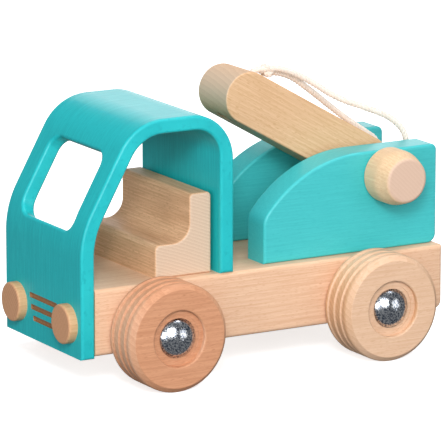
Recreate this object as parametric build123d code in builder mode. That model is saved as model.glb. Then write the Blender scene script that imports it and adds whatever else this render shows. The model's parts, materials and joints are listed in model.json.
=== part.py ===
from build123d import *
import math
import os

# A child's wooden tow truck: a beech chassis on four turned wheels, a bent and stained cab,
# and a boom that swings on a wooden pivot between two stained side plates.
# Frame: +X towards the cab's front, +Y to the truck's left, +Z up, origin on the ground
# under the middle of the truck. Millimetres.

os.makedirs("parts", exist_ok=True)

# Driving dimensions
wheel_diameter = 58.0
wheel_width = 24.0
wheel_inner_y = 44.3
front_axle_x = 63.8
rear_axle_x = -66.2
axle_height = wheel_diameter / 2
axle_diameter = 8.0

chassis_width = 86.0
chassis_height = 35.5
chassis_bottom = 18.5
chassis_top = chassis_bottom + chassis_height
chassis_rear_x = -113.0
chassis_front_x = 100.0

cab_wall = 8.0
cab_front_x = chassis_front_x + cab_wall
cab_rear_x = 17.1
cab_bottom = 17.3
cab_height = 140.2
cab_lean = 29.3
cab_bend_z = 83.4

plate_thickness = 18.2
plate_inner_y = 18.3
plate_rear_x = -113.0
plate_front_x = -5.1
plate_top = 108.5

pivot_x = -81.0
pivot_z = 95.1
pivot_diameter = 12.0
boom_angle = 29.9
boom_width = 30.2
boom_height = 27.8
boom_length = 85.5
boom_lift = 2.6
boom_top = boom_lift + boom_height / 2
boom_under = boom_lift - boom_height / 2

knob_diameter = 29.8
knob_length = 20.6
knob_gap = 0.3

rope_diameter = 3.6
running_clearance = 0.075
edge_round = 1.5
board_round = 2.0

# Directions in the boom: along it to the tip, and square out of its upper face
along_x = math.cos(math.radians(boom_angle))
along_z = math.sin(math.radians(boom_angle))


def boom_point(along, side, above):
    """A point given from the pivot: along the boom, to the truck's left, and above the pivot."""
    x = pivot_x + along * along_x - above * along_z
    z = pivot_z + along * along_z + above * along_x
    return (x, side, z)


def save(builder, name):
    """Names a finished piece and writes its STEP file."""
    builder.part.label = name
    export_step(builder.part, f"parts/{name}.step")


def bore(plane, spots, radius, depth):
    """Cuts round holes into the piece being built, from a plane down against its normal."""
    with BuildSketch(plane) as holes:
        with Locations(*spots):
            Circle(radius)
    extrude(holes.sketch, amount=-depth, mode=Mode.SUBTRACT)


def turning_plane(x, z, side, start_y):
    """The plane through a lathe's axis: x from the axis outwards, y along it, off the truck."""
    return Plane(origin=(x, side * start_y, z), x_dir=(1, 0, 0), z_dir=(0, 0, side))


def turning_axis(x, z):
    """The lathe's axis itself, across the truck."""
    return Axis((x, 0, z), (0, 1, 0))


def make_dowels(name, plane, spots, radius, depth_below, depth_above):
    """Writes a set of hidden glued dowels that stand through a joint lying in the plane."""
    with BuildPart() as pegs:
        with BuildSketch(plane.offset(-depth_below)):
            with Locations(*spots):
                Circle(radius)
        extrude(amount=depth_below + depth_above)
        ends = pegs.edges().filter_by(GeomType.CIRCLE)
        chamfer(ends, 0.8)
    save(pegs, name)


# Chassis: one planed beech board, drilled across for the axles and from above for dowels
chassis_mid_x = (chassis_rear_x + chassis_front_x) / 2
chassis_mid_z = (chassis_bottom + chassis_top) / 2
chassis_length = chassis_front_x - chassis_rear_x
rear_corner_radius = 4.5
axle_hole_radius = axle_diameter / 2 + 0.1

dowel_radius = 4.0
glue_gap = 0.05
plate_mid_y = plate_inner_y + plate_thickness / 2
plate_dowel_spots = [(x, side * plate_mid_y) for x in (-20.0, -58.0, -98.0) for side in (-1, 1)]
plate_dowel_down = 14.0
plate_dowel_up = 22.0
seat_dowel_spots = [(44.0, -22.0), (44.0, 22.0)]
seat_dowel_down = 14.0
seat_dowel_up = 11.0
cab_rear_dowel_radius = 2.5
cab_rear_dowel_spots = [(cab_rear_x + cab_wall / 2, -26.0), (cab_rear_x + cab_wall / 2, 26.0)]
cab_rear_dowel_down = 14.0
cab_rear_dowel_up = 13.0
cab_front_dowel_spots = [(-13.0, 36.0), (13.0, 36.0)]
cab_front_dowel_back = 22.0
cab_front_dowel_forward = 5.0

top_plane = Plane.XY.offset(chassis_top)
front_plane = Plane(origin=(chassis_front_x, 0, 0), x_dir=(0, 1, 0), z_dir=(1, 0, 0))
side_plane = Plane(origin=(0, 0, 0), x_dir=(1, 0, 0), z_dir=(0, -1, 0))

with BuildPart() as chassis:
    with BuildSketch(Plane.XY.offset(chassis_bottom)):
        with Locations((chassis_mid_x, 0)):
            Rectangle(chassis_length, chassis_width)
    extrude(amount=chassis_height)
    rear_face = chassis.faces().sort_by(Axis.X)[0]
    rear_bottom = rear_face.edges().filter_by(Axis.Y).sort_by(Axis.Z)[0]
    fillet(rear_bottom, rear_corner_radius)
    long_edges = chassis.edges().filter_by(Axis.X)
    fillet(long_edges, board_round)
    rear_edges = chassis.faces().sort_by(Axis.X)[0].edges()
    fillet(rear_edges.filter_by(Axis.Z) + rear_edges.sort_by(Axis.Z)[-1:], 1.0)
    with BuildSketch(side_plane):
        with Locations((front_axle_x, axle_height), (rear_axle_x, axle_height)):
            Circle(axle_hole_radius)
    extrude(amount=chassis_width, both=True, mode=Mode.SUBTRACT)
    bore(top_plane, plate_dowel_spots, dowel_radius + glue_gap, plate_dowel_down)
    bore(top_plane, seat_dowel_spots, dowel_radius + glue_gap, seat_dowel_down)
    bore(top_plane, cab_rear_dowel_spots, cab_rear_dowel_radius + glue_gap, cab_rear_dowel_down)
    bore(front_plane, cab_front_dowel_spots, dowel_radius + glue_gap, cab_front_dowel_back)
save(chassis, "chassis")

# Cab shell: one strip of bent wood, front plate, leaning windscreen, roof and back wall
roof_front_radius = 29.0
roof_rear_radius = 25.5
roof_rear_inner_radius = 15.0
nose_radius = 50.0
lean_run = math.tan(math.radians(cab_lean))
roof_corner_x = cab_front_x - (cab_height - cab_bend_z) * lean_run
windscreen_width = 57.2
windscreen_height = 44.6
windscreen_corner = 8.0
windscreen_z = 103.2
headlight_y = 28.4
headlight_z = 34.5
tenon_radius = 4.0
tenon_length = 5.0
grille_depth = 1.5
grille_slots = [(40.8, 31.0), (34.6, 28.0), (28.7, 23.0)]
grille_height = 2.9

with BuildPart() as cab_shell:
    with BuildSketch(side_plane) as strip:
        with BuildLine() as outline:
            FilletPolyline(
                (cab_front_x, cab_bottom),
                (cab_front_x, cab_bend_z),
                (roof_corner_x, cab_height),
                (cab_rear_x, cab_height),
                (cab_rear_x, chassis_top),
                radius=(nose_radius, roof_front_radius, roof_rear_radius),
            )
            inner_shift = cab_wall * math.tan(math.radians(cab_lean / 2))
            inner_bend_z = cab_bend_z - inner_shift
            inner_roof = cab_height - cab_wall
            inner_corner_x = cab_front_x - cab_wall - (inner_roof - inner_bend_z) * lean_run
            FilletPolyline(
                (cab_rear_x + cab_wall, chassis_top),
                (cab_rear_x + cab_wall, inner_roof),
                (inner_corner_x, inner_roof),
                (cab_front_x - cab_wall, inner_bend_z),
                (cab_front_x - cab_wall, cab_bottom),
                radius=(
                    roof_rear_inner_radius,
                    roof_front_radius - cab_wall,
                    nose_radius - cab_wall,
                ),
            )
            Line((cab_rear_x, chassis_top), (cab_rear_x + cab_wall, chassis_top))
            Line((cab_front_x - cab_wall, cab_bottom), (cab_front_x, cab_bottom))
        make_face()
    extrude(amount=chassis_width / 2, both=True)
    windscreen_x = cab_front_x - (windscreen_z - cab_bend_z) * lean_run
    lean_x = math.cos(math.radians(cab_lean))
    lean_z = math.sin(math.radians(cab_lean))
    screen_plane = Plane(
        origin=(windscreen_x, 0, windscreen_z), x_dir=(0, 1, 0), z_dir=(lean_x, 0, lean_z)
    )
    with BuildSketch(screen_plane):
        RectangleRounded(windscreen_width, windscreen_height, windscreen_corner)
    extrude(amount=2 * cab_wall, both=True, mode=Mode.SUBTRACT)
    side_edges = cab_shell.edges().group_by(Axis.Y)[0] + cab_shell.edges().group_by(Axis.Y)[-1]
    screen_edges = cab_shell.edges().filter_by(
        lambda e: abs(e.center().Y) < chassis_width / 2 - 5 and e.center().Z > chassis_top + 20
    )
    fillet(side_edges, edge_round)
    fillet(screen_edges, edge_round)
    grille_plane = Plane(origin=(cab_front_x, 0, 0), x_dir=(0, 1, 0), z_dir=(1, 0, 0))
    with BuildSketch(grille_plane):
        for slot_z, slot_width in grille_slots:
            with Locations((0, slot_z)):
                RectangleRounded(slot_width, grille_height, 0.6)
    extrude(amount=-grille_depth, mode=Mode.SUBTRACT)
    lamp_spots = [(-headlight_y, headlight_z), (headlight_y, headlight_z)]
    bore(grille_plane, lamp_spots, tenon_radius + glue_gap, tenon_length + 0.5)
    front_holes = front_plane.offset(cab_front_dowel_forward + 0.5)
    bore(front_holes, cab_front_dowel_spots, dowel_radius + glue_gap, cab_front_dowel_forward + 0.5)
    rear_holes = top_plane.offset(cab_rear_dowel_up + 0.5)
    bore(rear_holes, cab_rear_dowel_spots, cab_rear_dowel_radius + glue_gap, cab_rear_dowel_up + 0.5)
save(cab_shell, "cab_shell")

# Headlights: turned discs, each with a tenon glued into the front plate
headlight_diameter = 21.0
headlight_thickness = 5.0
for name, side in (("headlight_left", 1), ("headlight_right", -1)):
    lamp_plane = Plane(
        origin=(cab_front_x, side * headlight_y, headlight_z), x_dir=(0, 1, 0), z_dir=(1, 0, 0)
    )
    with BuildPart() as headlight:
        with BuildSketch(lamp_plane):
            Circle(headlight_diameter / 2)
        extrude(amount=headlight_thickness)
        fillet(headlight.edges().sort_by(Axis.X)[-1], 1.3)
        with BuildSketch(lamp_plane):
            Circle(tenon_radius)
        extrude(amount=-tenon_length)
    save(headlight, name)

# Seat bench: a solid beech seat with its backrest, cut from one block
seat_rear_x = 27.5
seat_front_x = 61.0
backrest_x = 40.4
seat_top = 71.8
backrest_top = 97.3
seat_width = 74.2
with BuildPart() as seat_bench:
    with BuildSketch(side_plane) as profile:
        with BuildLine():
            Polyline(
                (seat_rear_x, chassis_top),
                (seat_front_x, chassis_top),
                (seat_front_x, seat_top),
                (backrest_x, seat_top),
                (backrest_x, backrest_top),
                (seat_rear_x, backrest_top),
                close=True,
            )
        make_face()
        hollow = profile.vertices().sort_by_distance((backrest_x, seat_top))[0]
        fillet(hollow, 10.0)
        nose = profile.vertices().sort_by_distance((seat_front_x, seat_top))[0]
        fillet(nose, 3.0)
        tops = profile.vertices().group_by(Axis.Y)[-1]
        fillet(tops, 2.5)
    extrude(amount=seat_width / 2, both=True)
    fillet(seat_bench.edges().group_by(Axis.Y)[0] + seat_bench.edges().group_by(Axis.Y)[-1], 1.2)
    seat_holes = top_plane.offset(seat_dowel_up + 0.5)
    bore(seat_holes, seat_dowel_spots, dowel_radius + glue_gap, seat_dowel_up + 0.5)
save(seat_bench, "seat_bench")

# Side plates: stained boards that stand on the chassis and carry the boom's pivot. Each is
# given the side it stands on and where its sawn curve leaves the level top.
plate_curve_radius = 74.0
curve_centre_z = plate_top - plate_curve_radius
plate_curves = {"side_plate_left": (1, -65.0), "side_plate_right": (-1, -69.5)}
for name, (side, plate_curve_x) in plate_curves.items():
    curve_reach = plate_front_x - plate_curve_x
    curve_end_z = curve_centre_z + math.sqrt(plate_curve_radius**2 - curve_reach**2)
    half_turn = math.asin(curve_reach / plate_curve_radius) / 2
    curve_mid = (
        plate_curve_x + plate_curve_radius * math.sin(half_turn),
        curve_centre_z + plate_curve_radius * math.cos(half_turn),
    )
    plate_plane = Plane(origin=(0, side * plate_mid_y, 0), x_dir=(1, 0, 0), z_dir=(0, -1, 0))
    with BuildPart() as side_plate:
        with BuildSketch(plate_plane) as profile:
            with BuildLine():
                Polyline(
                    (plate_curve_x, plate_top),
                    (plate_rear_x, plate_top),
                    (plate_rear_x, chassis_top),
                    (plate_front_x, chassis_top),
                    (plate_front_x, curve_end_z),
                )
                ThreePointArc((plate_front_x, curve_end_z), curve_mid, (plate_curve_x, plate_top))
            make_face()
            corners = profile.vertices()
            fillet(corners.sort_by_distance((plate_front_x, curve_end_z))[0], 10.0)
            corners = profile.vertices()
            fillet(corners.sort_by_distance((plate_rear_x, plate_top))[0], 3.5)
            corners = profile.vertices()
            fillet(corners.sort_by_distance((plate_rear_x, chassis_top))[0], 5.0)
        extrude(amount=plate_thickness / 2, both=True)
        faces_y = side_plate.edges().group_by(Axis.Y)
        fillet(faces_y[0] + faces_y[-1], edge_round)
        with BuildSketch(plate_plane):
            with Locations((pivot_x, pivot_z)):
                Circle(pivot_diameter / 2 + running_clearance)
        extrude(amount=plate_thickness, both=True, mode=Mode.SUBTRACT)
        plate_holes = top_plane.offset(plate_dowel_up + 0.5)
        own_spots = [spot for spot in plate_dowel_spots if spot[1] * side > 0]
        bore(plate_holes, own_spots, dowel_radius + glue_gap, plate_dowel_up + 0.5)
    save(side_plate, name)

# Boom: a square beech bar with round ends, bored across for its pivot and down for the rope.
# Its middle line passes boom_lift above the pivot, so the heel stands a little proud.
rope_hole_along = 83.3
rope_hole_radius = 2.6
rope_pocket_radius = 6.2
rope_pocket_depth = 12.5
boom_plane = Plane(
    origin=(pivot_x, 0, pivot_z), x_dir=(along_x, 0, along_z), z_dir=(0, -1, 0)
)
rope_top_plane = Plane(
    origin=boom_point(rope_hole_along, 0, boom_top),
    x_dir=(along_x, 0, along_z),
    z_dir=(-along_z, 0, along_x),
)
rope_under_plane = Plane(
    origin=boom_point(rope_hole_along, 0, boom_under),
    x_dir=(along_x, 0, along_z),
    z_dir=(along_z, 0, -along_x),
)
with BuildPart() as boom:
    with BuildSketch(boom_plane):
        with Locations((boom_length / 2, boom_lift)):
            SlotCenterToCenter(boom_length, boom_height)
    extrude(amount=boom_width / 2, both=True)
    sides = boom.edges().group_by(Axis.Y)
    fillet(sides[0] + sides[-1], 0.8)
    with BuildSketch(boom_plane):
        Circle(pivot_diameter / 2)
    extrude(amount=boom_width, both=True, mode=Mode.SUBTRACT)
    bore(rope_top_plane, [(0, 0)], rope_hole_radius, boom_height)
    bore(rope_under_plane, [(0, 0)], rope_pocket_radius, rope_pocket_depth)
save(boom, "boom")

# Boom pivot: a beech dowel glued through the boom, turning in the side plates
knob_face_y = plate_inner_y + plate_thickness + knob_gap
pivot_socket = 13.0
pivot_half = knob_face_y + pivot_socket - 0.5
with BuildPart() as boom_pivot:
    with BuildSketch(boom_plane):
        Circle(pivot_diameter / 2)
    extrude(amount=pivot_half, both=True)
    chamfer(boom_pivot.edges().filter_by(GeomType.CIRCLE), 0.8)
save(boom_pivot, "boom_pivot")

# Knobs: turned beech barrels, glued on the ends of the pivot, to turn the boom by
knob_radius = knob_diameter / 2
knob_taper = 2.9
knob_taper_length = 9.0
knob_profile = [
    (pivot_diameter / 2, 0),
    (knob_radius, 0),
    (knob_radius, knob_length - knob_taper_length),
    (knob_radius - knob_taper, knob_length),
    (0, knob_length),
    (0, pivot_socket),
    (pivot_diameter / 2, pivot_socket),
]
knob_rounds = {1: 1.5, 2: 14.0, 3: 2.2}
for name, side in (("knob_left", 1), ("knob_right", -1)):
    with BuildPart() as knob:
        with BuildSketch(turning_plane(pivot_x, pivot_z, side, knob_face_y)) as profile:
            with BuildLine():
                Polyline(*knob_profile, close=True)
            make_face()
            for corner, round_radius in knob_rounds.items():
                nearest = profile.vertices().sort_by_distance(knob_profile[corner])[0]
                fillet(nearest, round_radius)
        revolve(axis=turning_axis(pivot_x, pivot_z))
    save(knob, name)

# Wheels: turned beech with a grooved tread and a sunk hub, running on the axle ends
tread_grooves = (5.0, 11.4, 17.8)
groove_radius = 1.4
groove_lift = 0.2
shoulder = 2.8
recess_radius = 15.0
recess_depth = 2.7
floor_radius = 12.6
floor_depth = 3.1
bore_radius = axle_diameter / 2 + running_clearance
wheel_places = {
    "wheel_front_left": (front_axle_x, 1),
    "wheel_front_right": (front_axle_x, -1),
    "wheel_rear_left": (rear_axle_x, 1),
    "wheel_rear_right": (rear_axle_x, -1),
}

for name, (axle_x, side) in wheel_places.items():
    wheel_radius = wheel_diameter / 2
    with BuildPart() as wheel:
        with BuildSketch(turning_plane(axle_x, axle_height, side, wheel_inner_y)) as section:
            with Locations(((wheel_radius + bore_radius) / 2, wheel_width / 2)):
                Rectangle(wheel_radius - bore_radius, wheel_width)
            rim = section.vertices().sort_by_distance((wheel_radius, wheel_width))[0]
            chamfer(rim, shoulder)
            tread_corner = (wheel_radius, wheel_width - shoulder)
            fillet(section.vertices().sort_by_distance(tread_corner)[0], 2.6)
            face_corner = (wheel_radius - shoulder, wheel_width)
            fillet(section.vertices().sort_by_distance(face_corner)[0], 0.5)
            fillet(section.vertices().sort_by_distance((wheel_radius, 0))[0], 2.5)
            with Locations((recess_radius / 2, wheel_width)):
                Rectangle(recess_radius, 2 * recess_depth, mode=Mode.SUBTRACT)
            mouth = (recess_radius, wheel_width)
            fillet(section.vertices().sort_by_distance(mouth)[0], 1.0)
            with Locations((floor_radius / 2, wheel_width)):
                Rectangle(floor_radius, 2 * floor_depth, mode=Mode.SUBTRACT)
            with Locations(*[(wheel_radius + groove_lift, t) for t in tread_grooves]):
                Circle(groove_radius, mode=Mode.SUBTRACT)
            for t in tread_grooves:
                for edge_t in (t - groove_radius, t + groove_radius):
                    lip = section.vertices().sort_by_distance((wheel_radius, edge_t))[0]
                    fillet(lip, 0.45)
        revolve(axis=turning_axis(axle_x, axle_height))
    save(wheel, name)

# Hub caps: domed, chrome-plated sheet steel. A collar inside each dome is pushed on the axle.
cap_radius = 10.6
cap_height = 5.3
cap_sheet = 0.8
cap_start_y = wheel_inner_y + wheel_width - floor_depth + 0.4
collar_radius = 5.4
collar_weld = 0.6
axle_in_cap = 2.9
for name, (axle_x, side) in wheel_places.items():
    inner_radius = cap_radius - cap_sheet
    inner_height = cap_height - cap_sheet
    bow = (cap_radius**2 + cap_height**2) / (2 * cap_height)
    mid_r = cap_radius / 2
    mid_t = cap_height - bow + math.sqrt(bow**2 - mid_r**2)
    inner_bow = (inner_radius**2 + inner_height**2) / (2 * inner_height)
    inner_mid_r = inner_radius / 2
    inner_mid_t = inner_height - inner_bow + math.sqrt(inner_bow**2 - inner_mid_r**2)
    dome_at_collar = inner_height - inner_bow + math.sqrt(inner_bow**2 - collar_radius**2)
    collar_height = dome_at_collar + collar_weld
    with BuildPart() as hub_cap:
        with BuildSketch(turning_plane(axle_x, axle_height, side, cap_start_y)):
            with BuildLine():
                Line((0, inner_height), (0, cap_height))
                ThreePointArc((0, cap_height), (mid_r, mid_t), (cap_radius, 0))
                Line((cap_radius, 0), (inner_radius, 0))
                ThreePointArc((inner_radius, 0), (inner_mid_r, inner_mid_t), (0, inner_height))
            make_face()
            collar_middle = (axle_diameter / 2 + collar_radius) / 2
            with Locations((collar_middle, collar_height / 2)):
                Rectangle(collar_radius - axle_diameter / 2, collar_height)
        revolve(axis=turning_axis(axle_x, axle_height))
    save(hub_cap, name.replace("wheel", "hub_cap"))

# Axles: plain steel rods through the chassis, ending inside the hub caps
axle_half = cap_start_y + axle_in_cap
for name, axle_x in (("front_axle", front_axle_x), ("rear_axle", rear_axle_x)):
    with BuildPart() as axle:
        with BuildSketch(side_plane):
            with Locations((axle_x, axle_height)):
                Circle(axle_diameter / 2)
        extrude(amount=axle_half, both=True)
        chamfer(axle.edges().filter_by(GeomType.CIRCLE), 0.6)
    save(axle, name)

# Hidden dowels that hold the glued joints
make_dowels(
    "side_plate_dowels", top_plane, plate_dowel_spots, dowel_radius, plate_dowel_down - 0.5, plate_dowel_up
)
make_dowels("seat_dowels", top_plane, seat_dowel_spots, dowel_radius, seat_dowel_down - 0.5, seat_dowel_up)
make_dowels(
    "cab_rear_dowels",
    top_plane,
    cab_rear_dowel_spots,
    cab_rear_dowel_radius,
    cab_rear_dowel_down - 0.5,
    cab_rear_dowel_up,
)
make_dowels(
    "cab_front_dowels",
    front_plane,
    cab_front_dowel_spots,
    dowel_radius,
    cab_front_dowel_back - 0.5,
    cab_front_dowel_forward,
)

# Tow rope: a twisted cotton loop. It leaves the boom's hole, is knotted on top of the boom,
# runs back in one strand, hangs between the side plates behind the boom's heel, and comes
# back along the boom to the knot. Points are (along, side, above) from the pivot.
rope_route = [
    boom_point(83.3, 0.0, 6.0),
    boom_point(83.3, 0.4, 17.5),
    boom_point(75.0, 1.9, 22.2),
    boom_point(67.0, 2.0, 26.3),
    boom_point(49.0, 2.4, 27.8),
    boom_point(30.0, 4.5, 26.1),
    boom_point(12.0, 8.0, 28.9),
    boom_point(-4.6, 11.0, 31.0),
    boom_point(-18.5, 12.4, 26.0),
    (-108.4, 12.4, 84.0),
    (-106.8, -11.4, 83.6),
    (-106.2, -11.4, 102.0),
    boom_point(-3.7, -9.0, 19.2),
    boom_point(17.0, -7.0, 20.8),
    boom_point(40.0, -3.8, 23.8),
    boom_point(63.0, -1.8, 26.0),
    boom_point(74.5, -1.9, 19.6),
]


def corner_radii(points):
    """The radius of each corner: 0.45 of its shorter run, over the tangent of half the turn."""
    radii = []
    for before, here, after in zip(points, points[1:], points[2:]):
        run_in = Vector(here) - Vector(before)
        run_out = Vector(after) - Vector(here)
        shorter = min(run_in.length, run_out.length)
        turn = run_in.get_angle(run_out)
        radii.append(0.45 * shorter / math.tan(math.radians(turn / 2)))
    return radii


rope_radii = corner_radii(rope_route)
with BuildPart() as tow_rope:
    with BuildLine() as rope_line:
        FilletPolyline(*rope_route, radius=rope_radii)
    with BuildSketch(Plane(origin=rope_line.line @ 0, z_dir=rope_line.line % 0)):
        Circle(rope_diameter / 2)
    sweep()
save(tow_rope, "tow_rope")
rope_length = sum(edge.length for edge in rope_line.edges())
rope_section = math.pi * (rope_diameter / 2) ** 2
print("rope radii", [round(radius, 1) for radius in rope_radii])
print("rope length", round(rope_length, 1))
print("rope volume share", round(tow_rope.part.volume / (rope_length * rope_section), 4))

# Rope knot: the overhand knot that closes the loop, lying on the boom's upper face
knot_length = 10.5
knot_diameter = 9.4
knot_middle = boom_point(74.3, 0, boom_top + knot_diameter / 2 + 0.15)
with BuildPart() as rope_knot:
    with BuildSketch(
        Plane(origin=knot_middle, x_dir=(along_x, 0, along_z), z_dir=(0, -1, 0))
    ) as half_knot:
        Ellipse(knot_length / 2, knot_diameter / 2)
        with Locations((0, -knot_diameter / 2)):
            Rectangle(knot_length, knot_diameter, mode=Mode.SUBTRACT)
    revolve(axis=Axis(knot_middle, (along_x, 0, along_z)))
save(rope_knot, "rope_knot")

# Stopper knot: the rope's tail knotted in the pocket under the boom, so it can't pull through
stopper_diameter = 9.6
stopper_above = boom_under + rope_pocket_depth - stopper_diameter / 2 - 0.2
stopper_middle = boom_point(rope_hole_along, 0, stopper_above)
with BuildPart() as rope_stopper:
    with BuildSketch(Plane(origin=stopper_middle, x_dir=(1, 0, 0), z_dir=(0, -1, 0))):
        Circle(stopper_diameter / 2)
        with Locations((0, -stopper_diameter / 2)):
            Rectangle(stopper_diameter, stopper_diameter, mode=Mode.SUBTRACT)
    revolve(axis=Axis(stopper_middle, (1, 0, 0)))
save(rope_stopper, "rope_stopper")
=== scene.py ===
import json
import math

import bpy
from mathutils import Matrix, Vector


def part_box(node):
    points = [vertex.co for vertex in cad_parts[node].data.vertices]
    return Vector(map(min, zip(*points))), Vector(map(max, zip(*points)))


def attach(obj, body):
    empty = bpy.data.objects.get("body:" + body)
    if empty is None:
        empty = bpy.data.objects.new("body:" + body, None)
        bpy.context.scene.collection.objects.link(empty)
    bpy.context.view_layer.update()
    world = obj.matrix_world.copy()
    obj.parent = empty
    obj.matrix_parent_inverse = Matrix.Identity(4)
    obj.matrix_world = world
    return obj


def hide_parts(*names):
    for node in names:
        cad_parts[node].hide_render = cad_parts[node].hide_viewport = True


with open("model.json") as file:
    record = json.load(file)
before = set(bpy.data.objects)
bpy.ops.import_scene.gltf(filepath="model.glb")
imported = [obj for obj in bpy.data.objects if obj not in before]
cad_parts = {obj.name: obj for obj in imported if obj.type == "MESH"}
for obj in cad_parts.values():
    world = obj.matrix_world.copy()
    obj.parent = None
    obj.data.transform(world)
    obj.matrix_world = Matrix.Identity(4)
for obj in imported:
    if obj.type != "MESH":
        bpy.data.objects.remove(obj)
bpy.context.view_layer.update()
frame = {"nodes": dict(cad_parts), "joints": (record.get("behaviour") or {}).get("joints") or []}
scene = bpy.context.scene
parts = frame["nodes"]
MM = 0.001

# Chassis -------------------------------------------------------------------------------
# One planed beech board, drilled across for the axles and from above for the dowels.
# Its edges are eased, and it is finished with clear oil.


def paint(code):
    """A colour given as an sRGB hex code, made linear, with full opacity."""
    channels = [int(code[i : i + 2], 16) / 255 for i in (1, 3, 5)]
    linear = [c / 12.92 if c <= 0.04045 else ((c + 0.055) / 1.055) ** 2.4 for c in channels]
    return (*linear, 1.0)


def add(tree, kind, inputs=None, **settings):
    """Adds a node of that kind to a tree, with its settings, and with its inputs set or linked."""
    made = tree.nodes.new(kind)
    for name, value in settings.items():
        setattr(made, name, value)
    for name, value in (inputs or {}).items():
        if isinstance(value, bpy.types.NodeSocket):
            tree.links.new(value, made.inputs[name])
        else:
            made.inputs[name].default_value = value
    return made


def finish_node(name, material):
    """Gives a carried-over part its finish."""
    mesh = parts[name].data
    mesh.materials.clear()
    mesh.materials.append(material)


def new_tree(name):
    """An empty material and its node tree."""
    material = bpy.data.materials.new(name)
    material.use_nodes = True
    material.node_tree.nodes.clear()
    return material, material.node_tree


WAVE_PERIOD = 0.314  # a wave texture of scale 1 repeats every 0.314 units


def fibres(tree, along, rings_mm, pith, bent=False):
    """The grain of a beech board as three greys: year rings, long fibres and short dark rays.

    along turns the object's axes so that the fibres lie on X, and pith is where the middle of
    the tree was, in millimetres, in the turned axes. In a bent board the fibres follow the
    bend in the XZ plane. They are 0.3 mm wide on the real board and drawn at 0.7 mm, because
    they would be too fine to show.
    """
    place = add(tree, "ShaderNodeTexCoord").outputs["Object"]
    board = add(
        tree,
        "ShaderNodeMapping",
        {"Vector": place, "Rotation": along, "Scale": (1000, 1000, 1000), "Location": pith},
    ).outputs["Vector"]

    def drawn_out(lengthwise, across):
        depth = lengthwise if bent else across
        return add(
            tree, "ShaderNodeMapping", {"Vector": board, "Scale": (lengthwise, across, depth)}
        ).outputs["Vector"]

    rings = add(
        tree,
        "ShaderNodeTexWave",
        {
            "Vector": drawn_out(0.12, 1.0),
            "Scale": WAVE_PERIOD / rings_mm,
            "Distortion": 1.0,
            "Detail": 2.0,
            "Detail Scale": 1.2,
        },
        wave_type="RINGS",
        rings_direction="X",
        wave_profile="SAW",
    ).outputs["Fac"]
    fibre = add(
        tree, "ShaderNodeTexNoise", {"Vector": drawn_out(0.05, 1.4), "Scale": 1.0, "Detail": 4.0}
    ).outputs["Fac"]
    ray = add(
        tree, "ShaderNodeTexNoise", {"Vector": drawn_out(0.35, 2.2), "Scale": 1.0, "Detail": 1.0}
    ).outputs["Fac"]
    rays = add(
        tree, "ShaderNodeMapRange", {"Value": ray, "From Min": 0.58, "From Max": 0.72}
    ).outputs["Result"]
    return rings, fibre, rays


# A mix node keeps its two colours on inputs 6 and 7, and gives the colour on output 2.
COLOUR_A = 6
COLOUR_B = 7
COLOUR_OUT = 2

# Turns of the object's axes that lay its fibres along X.
ALONG_X = (0.0, 0.0, 0.0)
ALONG_Y = (0.0, 0.0, math.radians(-90))


def oiled_beech(name, light, dark, ends, along, rings_mm, pith):
    """Natural beech under clear oil: pale wood, faint rings, fine darker fibres, short rays.

    ends holds the light and dark colours of the end grain, which faces along the fibres.
    """
    material, tree = new_tree(name)
    rings, fibre, rays = fibres(tree, along, rings_mm, pith)
    soft = add(
        tree, "ShaderNodeMapRange", {"Value": fibre, "From Min": 0.3, "From Max": 0.7}
    ).outputs["Result"]
    grain = add(
        tree, "ShaderNodeMix", {"Factor": 0.35, "A": soft, "B": rings}, data_type="FLOAT"
    ).outputs["Result"]
    ringed = add(
        tree,
        "ShaderNodeMix",
        {"Factor": grain, COLOUR_A: paint(light), COLOUR_B: paint(dark)},
        data_type="RGBA",
    ).outputs[COLOUR_OUT]
    long_grain = add(
        tree,
        "ShaderNodeMix",
        {"Factor": rays, COLOUR_A: ringed, COLOUR_B: paint(dark)},
        data_type="RGBA",
    ).outputs[COLOUR_OUT]
    lines = add(
        tree, "ShaderNodeMix", {"Factor": 0.7, "A": soft, "B": rings}, data_type="FLOAT"
    ).outputs["Result"]
    end_grain = add(
        tree,
        "ShaderNodeMix",
        {"Factor": lines, COLOUR_A: paint(ends[0]), COLOUR_B: paint(ends[1])},
        data_type="RGBA",
    ).outputs[COLOUR_OUT]
    facing = add(tree, "ShaderNodeTexCoord").outputs["Normal"]
    turned = add(
        tree,
        "ShaderNodeMapping",
        {"Vector": facing, "Rotation": along},
        vector_type="VECTOR",
    ).outputs["Vector"]
    lengthwise = add(tree, "ShaderNodeSeparateXYZ", {"Vector": turned}).outputs["X"]
    steep = add(tree, "ShaderNodeMath", {0: lengthwise}, operation="ABSOLUTE").outputs["Value"]
    end_share = add(
        tree, "ShaderNodeMapRange", {"Value": steep, "From Min": 0.45, "From Max": 0.95}
    ).outputs["Result"]
    wood = add(
        tree,
        "ShaderNodeMix",
        {"Factor": end_share, COLOUR_A: long_grain, COLOUR_B: end_grain},
        data_type="RGBA",
    ).outputs[COLOUR_OUT]
    height = add(
        tree, "ShaderNodeMath", {0: fibre, 1: rays}, operation="SUBTRACT"
    ).outputs["Value"]
    bump = add(
        tree,
        "ShaderNodeBump",
        {"Height": height, "Strength": 0.25, "Distance": 0.08 * MM},
    ).outputs["Normal"]
    sheen = add(
        tree,
        "ShaderNodeMapRange",
        {"Value": fibre, "To Min": 0.46, "To Max": 0.6},
    ).outputs["Result"]
    shader = add(
        tree,
        "ShaderNodeBsdfPrincipled",
        {"Base Color": wood, "Roughness": sheen, "Normal": bump, "IOR": 1.4},
    ).outputs["BSDF"]
    add(tree, "ShaderNodeOutputMaterial", {"Surface": shader})
    return material


finish_node(
    "chassis",
    oiled_beech(
        "planed beech, oiled", "#F2CDAE", "#DFB08D", ("#E9BF95", "#D3A277"), ALONG_X, 2.4, (0, 8, 60)
    ),
)

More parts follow.
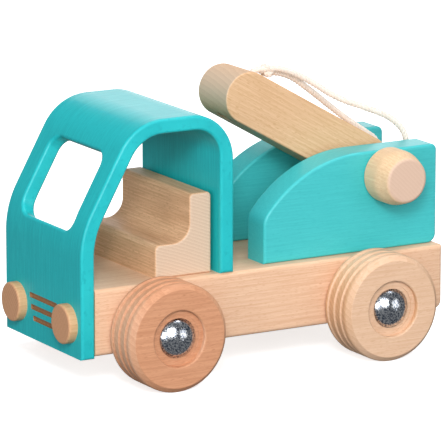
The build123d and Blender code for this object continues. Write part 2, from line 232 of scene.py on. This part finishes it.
# Cab shell -----------------------------------------------------------------------------
# One strip of beech, steamed and bent: front plate, leaning windscreen, roof and back wall.
# It is water-stained turquoise, so the grain shows through, and lacquered to a satin finish.
# The grille's slots are sawn through the stain and show bare wood.


def between(tree, value, low, high):
    """1 where a value lies between two limits, and 0 elsewhere."""
    above = add(tree, "ShaderNodeMath", {0: value, 1: low}, operation="GREATER_THAN")
    below = add(tree, "ShaderNodeMath", {0: value, 1: high}, operation="LESS_THAN")
    both = {0: above.outputs["Value"], 1: below.outputs["Value"]}
    return add(tree, "ShaderNodeMath", both, operation="MULTIPLY").outputs["Value"]


def stained_beech(name, light, dark, along, pith, bent=False, sawn=None):
    """Turquoise water stain under satin lacquer: the fibres take more stain than the wood.

    sawn holds two corners of a box, in metres, in which the wood is bare.
    """
    material, tree = new_tree(name)
    rings, fibre, rays = fibres(tree, along, 3.0, pith, bent=bent)
    soft = add(
        tree, "ShaderNodeMapRange", {"Value": fibre, "From Min": 0.3, "From Max": 0.7}
    ).outputs["Result"]
    grain = add(
        tree, "ShaderNodeMix", {"Factor": 0.2, "A": soft, "B": rings}, data_type="FLOAT"
    ).outputs["Result"]
    ringed = add(
        tree,
        "ShaderNodeMix",
        {"Factor": grain, COLOUR_A: paint(light), COLOUR_B: paint(dark)},
        data_type="RGBA",
    ).outputs[COLOUR_OUT]
    surface = add(
        tree,
        "ShaderNodeMix",
        {"Factor": rays, COLOUR_A: ringed, COLOUR_B: paint(dark)},
        data_type="RGBA",
    ).outputs[COLOUR_OUT]
    if sawn:
        place = add(tree, "ShaderNodeTexCoord").outputs["Object"]
        axes = add(tree, "ShaderNodeSeparateXYZ", {"Vector": place}).outputs
        inside = 1.0
        for axis, low, high in zip("XYZ", *sawn):
            share = between(tree, axes[axis], low, high)
            inside = add(
                tree, "ShaderNodeMath", {0: inside, 1: share}, operation="MULTIPLY"
            ).outputs["Value"]
        bare = add(
            tree,
            "ShaderNodeMix",
            {"Factor": fibre, COLOUR_A: paint("#B98A63"), COLOUR_B: paint("#8E6342")},
            data_type="RGBA",
        ).outputs[COLOUR_OUT]
        surface = add(
            tree,
            "ShaderNodeMix",
            {"Factor": inside, COLOUR_A: surface, COLOUR_B: bare},
            data_type="RGBA",
        ).outputs[COLOUR_OUT]
    bump = add(
        tree,
        "ShaderNodeBump",
        {"Height": fibre, "Strength": 0.2, "Distance": 0.06 * MM},
    ).outputs["Normal"]
    sheen = add(
        tree, "ShaderNodeMapRange", {"Value": fibre, "To Min": 0.36, "To Max": 0.5}
    ).outputs["Result"]
    shader = add(
        tree,
        "ShaderNodeBsdfPrincipled",
        {
            "Base Color": surface,
            "Roughness": sheen,
            "Normal": bump,
            "IOR": 1.36,
            "Coat Weight": 0.2,
            "Coat Roughness": 0.2,
        },
    ).outputs["BSDF"]
    add(tree, "ShaderNodeOutputMaterial", {"Surface": shader})
    return material


cab_low, cab_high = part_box("cab_shell")
grille_low = (cab_high[0] - 2.5 * MM, -17 * MM, cab_low[2] + 7 * MM)
grille_high = (cab_high[0] - 0.2 * MM, 17 * MM, cab_low[2] + 27 * MM)
finish_node(
    "cab_shell",
    stained_beech(
        "bent beech, turquoise stain",
        "#28C6CB",
        "#1CB3BA",
        ALONG_X,
        (0, 30, 50),
        bent=True,
        sawn=(grille_low, grille_high),
    ),
)

# Headlights ----------------------------------------------------------------------------
# Two turned beech discs, each on a tenon that is glued into the front plate. Their faces
# are end grain, which is darker than the rims.
lamp_finish = oiled_beech(
    "turned beech, end grain", "#E3B98D", "#D0A071", ("#E0AC86", "#C6916B"), ALONG_X, 1.6, (0, 3, -20)
)
for name in ("headlight_left", "headlight_right"):
    finish_node(name, lamp_finish)

# Seat bench ----------------------------------------------------------------------------
# A solid beech seat with its backrest, sawn from one block across the truck, so that its
# sides are end grain and show the year rings as slanting lines.
finish_node(
    "seat_bench",
    oiled_beech(
        "seat beech, oiled", "#F6C79E", "#CF9C74", ("#E0C8B1", "#CDB096"), ALONG_Y, 1.7, (0, 130, 160)
    ),
)

# Side plates ---------------------------------------------------------------------------
# Two beech boards, stained like the cab, glued and dowelled to the chassis. They carry the
# boom's pivot. Their stain is painted lighter and whiter than the cab's: painted sheen of
# their lit sides.
# painted light: the cab's stain made lighter and whiter, for the sheen on the plates' lit sides
plate_finish_painted_lighter = stained_beech(
    "beech plate, turquoise stain painted lighter", "#4AC7CA", "#3EBABE", ALONG_X, (0, 30, 50)
)
for name in ("side_plate_left", "side_plate_right"):
    finish_node(name, plate_finish_painted_lighter)

# Boom ----------------------------------------------------------------------------------
# A square beech bar with round ends, bored across for its pivot and down for the rope.
boom_tilt = math.radians(29.9)
finish_node(
    "boom",
    oiled_beech(
        "boom beech, oiled",
        "#E8C29B",
        "#D2A57A",
        ("#DFC4AA", "#D0B59C"),
        (0, boom_tilt, 0),
        2.6,
        (0, 30, 40),
    ),
)

# Pivot and knobs -----------------------------------------------------------------------
# The pivot is a beech dowel, glued through the boom and free in the side plates. A knob,
# turned from a thick dowel, is glued on each of its ends.
knob_finish = oiled_beech(
    "knob beech, turned", "#F4D6B0", "#E0BA91", ("#E0C1AC", "#D9B8A1"), ALONG_Y, 1.8, (0, 40, 30)
)
dowel_finish = oiled_beech(
    "dowel beech", "#E9C79E", "#D2A67A", ("#D8B08A", "#B98F6A"), ALONG_Y, 1.6, (0, 6, 4)
)
for name in ("knob_left", "knob_right"):
    finish_node(name, knob_finish)
finish_node("boom_pivot", dowel_finish)

# Wheels --------------------------------------------------------------------------------
# Turned beech, each from its own piece of wood, so the front pair is redder than the rear.
# Three fine grooves run round each tread, and the hub is sunk.
front_wheel_finish = oiled_beech(
    "front wheel beech", "#D9A07C", "#C38763", ("#E2B696", "#CE9E7F"), ALONG_X, 2.6, (0, 60, 90)
)
rear_wheel_finish = oiled_beech(
    "rear wheel beech", "#EAC6A8", "#DAB08E", ("#DDB08A", "#C99A72"), ALONG_X, 2.2, (0, 60, 70)
)
for end, finish in (("front", front_wheel_finish), ("rear", rear_wheel_finish)):
    for side in ("left", "right"):
        finish_node(f"wheel_{end}_{side}", finish)

# Axles and hub caps --------------------------------------------------------------------
# Plain steel rods through the chassis. Domed caps of chrome-plated sheet steel are pushed
# on their ends, and keep the wheels on.


def plated_steel(name, light, dark, smooth, scuffed):
    """Plated steel: a mirror, a little scuffed, over a speckle of fine dark scratches; on the
    chrome the blue-grey dark speckle is also painted dark reflection of a dark room.
    """
    material, tree = new_tree(name)
    place = add(tree, "ShaderNodeTexCoord").outputs["Object"]
    speckle = add(
        tree, "ShaderNodeTexNoise", {"Vector": place, "Scale": 1100.0, "Detail": 4.0, "Roughness": 0.7}
    ).outputs["Fac"]
    # share of the dark colour: fine scratches, and on the chrome also painted dark reflection
    scratch_and_reflection_share = add(
        tree, "ShaderNodeMapRange", {"Value": speckle, "From Min": 0.42, "From Max": 0.56}
    ).outputs["Result"]
    scuff = add(
        tree, "ShaderNodeMapRange", {"Value": speckle, "To Min": smooth, "To Max": scuffed}
    ).outputs["Result"]
    bump = add(
        tree, "ShaderNodeBump", {"Height": speckle, "Strength": 0.45, "Distance": 0.05 * MM}
    ).outputs["Normal"]
    plate = add(
        tree,
        "ShaderNodeMix",
        {"Factor": scratch_and_reflection_share, COLOUR_A: paint(dark), COLOUR_B: paint(light)},
        data_type="RGBA",
    ).outputs[COLOUR_OUT]
    shader = add(
        tree,
        "ShaderNodeBsdfPrincipled",
        {
            "Base Color": plate,
            "Roughness": scuff,
            "Metallic": 1.0,
            "Normal": bump,
        },
    ).outputs["BSDF"]
    add(tree, "ShaderNodeOutputMaterial", {"Surface": shader})
    return material


# The chrome's blue-grey dark speckle is partly scratches and partly painted dark reflection.
chrome = plated_steel("chrome plate on steel, painted dark reflection", "#EDF0F3", "#5A6880", 0.1, 0.3)
axle_steel = plated_steel("zinc-plated steel rod", "#B4B7BC", "#85888F", 0.3, 0.45)
for end in ("front", "rear"):
    finish_node(f"{end}_axle", axle_steel)
    for side in ("left", "right"):
        finish_node(f"hub_cap_{end}_{side}", chrome)

# Hidden dowels -------------------------------------------------------------------------
# Glued beech dowels that hold the plates, the seat and the cab. They don't show.
for name in ("side_plate_dowels", "seat_dowels", "cab_rear_dowels", "cab_front_dowels"):
    finish_node(name, dowel_finish)

# Tow rope ------------------------------------------------------------------------------
# A loop of three-strand twisted cotton, 3.6 mm thick and undyed. It leaves the hole in the
# boom, is tied on top, and its end loop hangs between the side plates.
rope_thickness = 3.6 * MM
pivot = Vector([j for j in frame["joints"] if j["name"] == "boom_swing"][0]["pos_m"])


def boom_point(along, side, above):
    """A point given from the pivot, in millimetres: along the boom, to the left, and above."""
    x = along * math.cos(boom_tilt) - above * math.sin(boom_tilt)
    z = along * math.sin(boom_tilt) + above * math.cos(boom_tilt)
    return pivot + Vector((x, side, z)) * MM


def millimetres(x, y, z):
    return Vector((x, y, z)) * MM


rope_route = [
    boom_point(83.3, 0.0, 6.0),
    boom_point(83.3, 0.4, 17.5),
    boom_point(75.0, 1.9, 22.2),
    boom_point(67.0, 2.0, 26.3),
    boom_point(49.0, 2.4, 27.8),
    boom_point(30.0, 4.5, 26.1),
    boom_point(12.0, 8.0, 28.9),
    boom_point(-4.6, 11.0, 31.0),
    boom_point(-18.5, 12.4, 26.0),
    millimetres(-108.4, 12.4, 84.0),
    millimetres(-106.8, -11.4, 83.6),
    millimetres(-106.2, -11.4, 102.0),
    boom_point(-3.7, -9.0, 19.2),
    boom_point(17.0, -7.0, 20.8),
    boom_point(40.0, -3.8, 23.8),
    boom_point(63.0, -1.8, 26.0),
    boom_point(74.5, -1.9, 19.6),
]


def smooth_line(points):
    """Points close together along the smooth line of a NURBS spline with these points."""
    curve = bpy.data.curves.new("route", "CURVE")
    curve.dimensions = "3D"
    curve.resolution_u = 24
    spline = curve.splines.new("NURBS")
    spline.points.add(len(points) - 1)
    for spot, point in zip(spline.points, points):
        spot.co = (*point, 1.0)
    spline.order_u = 3
    spline.use_endpoint_u = True
    holder = bpy.data.objects.new("route", curve)
    line = bpy.data.meshes.new_from_object(holder)
    found = [v.co.copy() for v in line.vertices]
    bpy.data.meshes.remove(line)
    bpy.data.objects.remove(holder)
    bpy.data.curves.remove(curve)
    return found


def twist_rope(name, line, thickness, lay, material):
    """Three round strands twisted about a line: lay is the length of one full turn."""
    strands = 3
    sides = 9
    strand_radius = 0.27 * thickness
    offset = thickness / 2 - strand_radius
    rings_per_turn = 14
    step = lay / rings_per_turn
    runs = [(b - a).length for a, b in zip(line, line[1:])]
    total = sum(runs)
    count = max(8, round(total / step))
    spots = []
    index = 0
    passed = 0.0
    for k in range(count + 1):
        wanted = min(total * k / count, total - 1e-9)
        while passed + runs[index] < wanted:
            passed += runs[index]
            index += 1
        share = (wanted - passed) / runs[index]
        spots.append(line[index].lerp(line[index + 1], share))
    ways = [(b - a).normalized() for a, b in zip(spots, spots[1:])]
    ways.append(ways[-1])
    across = ways[0].orthogonal().normalized()
    rings = [[] for _ in range(strands)]
    for k, (spot, way) in enumerate(zip(spots, ways)):
        across = (across - way * across.dot(way)).normalized()
        beside = way.cross(across)
        for s in range(strands):
            turn = 2 * math.pi * (total * k / count / lay + s / strands)
            out = across * math.cos(turn) + beside * math.sin(turn)
            middle = spot + out * offset
            round_about = way.cross(out)
            tangent = (way * lay + round_about * 2 * math.pi * offset).normalized()
            level = tangent.cross(out)
            ring = []
            for i in range(sides):
                a = 2 * math.pi * i / sides
                ring.append(middle + (out * math.cos(a) + level * math.sin(a)) * strand_radius)
            rings[s].append(ring)
    points = []
    faces = []
    for strand in rings:
        start = len(points)
        for ring in strand:
            points.extend(ring)
        for k in range(len(strand) - 1):
            for i in range(sides):
                a = start + k * sides + i
                b = start + k * sides + (i + 1) % sides
                faces.append((a, b, b + sides, a + sides))
        faces.append(tuple(start + i for i in reversed(range(sides))))
        faces.append(tuple(start + (len(strand) - 1) * sides + i for i in range(sides)))
    mesh = bpy.data.meshes.new(name)
    mesh.from_pydata(points, [], faces)
    mesh.polygons.foreach_set("use_smooth", [len(f.vertices) == 4 for f in mesh.polygons])
    mesh.materials.append(material)
    piece = bpy.data.objects.new(name, mesh)
    scene.collection.objects.link(piece)
    return piece


def twisted_cotton(name):
    """Undyed cotton: matt and off-white, fuzzy at its edge, with fine slanting yarns."""
    material, tree = new_tree(name)
    place = add(tree, "ShaderNodeTexCoord").outputs["Object"]
    yarn = add(
        tree, "ShaderNodeTexNoise", {"Vector": place, "Scale": 1200.0, "Detail": 3.0}
    ).outputs["Fac"]
    patch = add(
        tree, "ShaderNodeTexNoise", {"Vector": place, "Scale": 160.0, "Detail": 2.0}
    ).outputs["Fac"]
    tone = add(
        tree, "ShaderNodeMix", {"Factor": 0.4, "A": yarn, "B": patch}, data_type="FLOAT"
    ).outputs["Result"]
    undyed = add(
        tree,
        "ShaderNodeMix",
        {"Factor": tone, COLOUR_A: paint("#FFF8F0"), COLOUR_B: paint("#E4D2C2")},
        data_type="RGBA",
    ).outputs[COLOUR_OUT]
    bump = add(
        tree, "ShaderNodeBump", {"Height": yarn, "Strength": 0.5, "Distance": 0.15 * MM}
    ).outputs["Normal"]
    shader = add(
        tree,
        "ShaderNodeBsdfPrincipled",
        {
            "Base Color": undyed,
            "Roughness": 0.9,
            "Normal": bump,
            "Sheen Weight": 0.35,
            "Sheen Roughness": 0.5,
        },
    ).outputs["BSDF"]
    add(tree, "ShaderNodeOutputMaterial", {"Surface": shader})
    return material


cotton = twisted_cotton("twisted cotton")
rope_lay = 6.5 * MM
rope_line = smooth_line(rope_route)
rope = twist_rope("rope", rope_line, rope_thickness, rope_lay, cotton)


def overhand_knot(name, node, thickness):
    """A pulled-tight overhand knot of the same rope, as large as its CAD solid."""
    low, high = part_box(node)
    middle = (low + high) / 2
    reach = min((high - low)[1], (high - low)[2]) / 2
    size = (reach - thickness / 2) / 3
    turn = Matrix.Rotation(-boom_tilt, 4, "Y")
    line = []
    steps = 90
    depth = 1.7
    for k in range(steps + 1):
        t = 2 * math.pi * k / steps
        local = Vector(
            (
                math.sin(t) + 2 * math.sin(2 * t),
                math.cos(t) - 2 * math.cos(2 * t),
                -depth * math.sin(3 * t),
            )
        )
        line.append(middle + turn @ (local * size))
    knot = twist_rope(name, line, thickness, rope_lay, cotton)
    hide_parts(node)
    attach(knot, "boom_arm")
    return knot


knot_on_top = overhand_knot("overhand_knot", "rope_knot", rope_thickness * 0.95)
knot_in_pocket = overhand_knot("stopper_knot", "rope_stopper", rope_thickness * 0.95)
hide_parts("tow_rope")
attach(rope, "boom_arm")
rope_length = sum((b - a).length for a, b in zip(rope_line, rope_line[1:]))

# Floor, light and camera ---------------------------------------------------------------
# A plain white table that lights nothing itself, and six soft lights: a large and a small
# one on the truck's left, one in front of the cab, one on the left behind, one overhead,
# and one on the far side.
floor_mesh = bpy.data.meshes.new("floor")
floor_mesh.from_pydata([(-9, -9, 0), (9, -9, 0), (9, 9, 0), (-9, 9, 0)], [], [(0, 1, 2, 3)])
floor = bpy.data.objects.new("floor", floor_mesh)
scene.collection.objects.link(floor)
floor.visible_diffuse = False
floor.visible_glossy = False
table, tree = new_tree("white table")
shade = add(
    tree,
    "ShaderNodeBsdfPrincipled",
    {
        "Base Color": paint("#F7F7F7"),
        "Roughness": 0.9,
        "Emission Color": paint("#FFFFFF"),
        "Emission Strength": 0.7,
    },
).outputs["BSDF"]
add(tree, "ShaderNodeOutputMaterial", {"Surface": shade})
floor_mesh.materials.append(table)

world = bpy.data.worlds.new("studio")
world.use_nodes = True
scene.world = world
world.node_tree.nodes.clear()
sky = add(
    world.node_tree, "ShaderNodeBackground", {"Color": paint("#F4F7FA"), "Strength": 0.2}
).outputs["Background"]
add(world.node_tree, "ShaderNodeOutputWorld", {"Surface": sky})


def soft_box(name, place, aim, size, power):
    """A square soft light at a place, turned to its aim."""
    light = bpy.data.lights.new(name, "AREA")
    light.shape = "SQUARE"
    light.size = size
    light.energy = power
    lamp = bpy.data.objects.new(name, light)
    lamp.visible_camera = False
    lamp.location = place
    lamp.rotation_euler = (Vector(aim) - Vector(place)).to_track_quat("-Z", "Y").to_euler()
    scene.collection.objects.link(lamp)


soft_box("key", (0.7, 1.65, 0.85), (0, 0, 0.06), 1.1, 23)
soft_box("lamp", (0.95, 1.55, 1.05), (0, 0, 0.06), 0.3, 11)
soft_box("front", (1.65, 1.0, 0.35), (0, 0, 0.06), 0.9, 10)
soft_box("side", (-1.0, 1.6, 0.4), (0, 0, 0.06), 1.0, 5)
soft_box("overhead", (-0.5, 0.1, 1.9), (0, 0, 0.06), 1.1, 17)
soft_box("backdrop", (-1.0, -1.7, 0.55), (0, 0, 0.15), 1.3, 9)

camera_azimuth = math.radians(150.1)
camera_elevation = math.radians(12.69)
camera_distance = 2.2808
camera_target = Vector((-0.0003, 0.0, 0.0706))
back = Vector(
    (
        math.sin(camera_azimuth) * math.cos(camera_elevation),
        -math.cos(camera_azimuth) * math.cos(camera_elevation),
        math.sin(camera_elevation),
    )
)
lens = bpy.data.cameras.new("camera")
lens.lens = 345.6
lens.sensor_width = 36.0
camera = bpy.data.objects.new("camera", lens)
camera.location = camera_target + back * camera_distance
camera.rotation_euler = (-back).to_track_quat("-Z", "Y").to_euler()
scene.collection.objects.link(camera)
scene.camera = camera
scene.view_settings.view_transform = "Standard"
